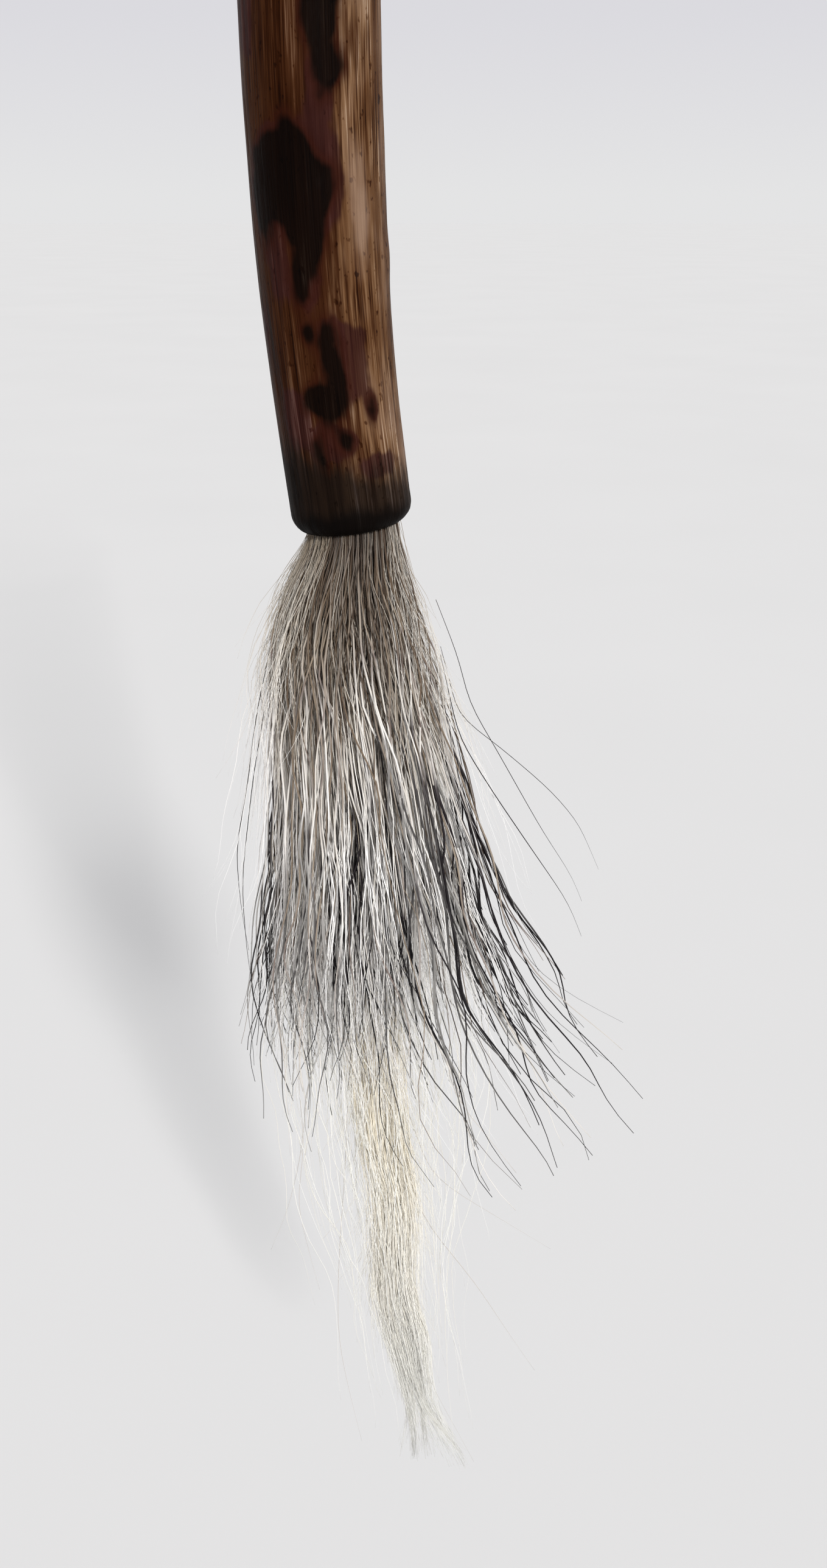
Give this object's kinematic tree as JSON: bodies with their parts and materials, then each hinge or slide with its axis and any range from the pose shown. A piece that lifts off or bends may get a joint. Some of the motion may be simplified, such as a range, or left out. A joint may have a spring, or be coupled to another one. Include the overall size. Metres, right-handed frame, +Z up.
{
  "type": "calligraphy brush",
  "caption": "Hanging calligraphy brush: bent mottled bamboo handle with a long tuft of grey, black-tipped hair around a cream core that bends at its root and tip.",
  "frame": {"origin": "centre of the hanging hole, on the axis of the straight upper handle", "axes": "+Z up along the straight handle with the hair tip down, +Y along the hanging hole, and the handle bends towards +X near its mouth"},
  "size_m": [0.0429, 0.031, 0.3514],
  "materials": {
    "bamboo": "satin, smoke-darkened and mottled",
    "glue": "clear amber",
    "resin": "glossy, melted",
    "thread": "waxed thread",
    "butt_hair": "packed hair",
    "core_hair": "soft cream hair",
    "under_hair": "woolly hair",
    "guard_hair": "sleek hair with black tips"
  },
  "bodies": {
    "handle": {"bamboo_handle": "bamboo", "socket_glue": "glue", "root_seal": "resin", "root_binding": "thread", "bundle_root": "butt_hair"},
    "tuft": {"core_belly": "core_hair", "under_coat": "under_hair", "guard_coat": "guard_hair"},
    "tip": {"core_tip": "core_hair"}
  },
  "joints": [
    {"name": "root_flex", "type": "hinge", "parent": "handle", "child": "tuft", "pos_m": [0.00387, 0, -0.20935], "axis": [0, 1, 0], "range_deg": [-35, 35], "stiffness_Nm_per_rad": 0.02},
    {"name": "tip_flex", "type": "hinge", "parent": "tuft", "child": "tip", "pos_m": [0.00574, 0, -0.27835], "axis": [0, 1, 0], "range_deg": [-40, 40], "stiffness_Nm_per_rad": 0.004}
  ]
}
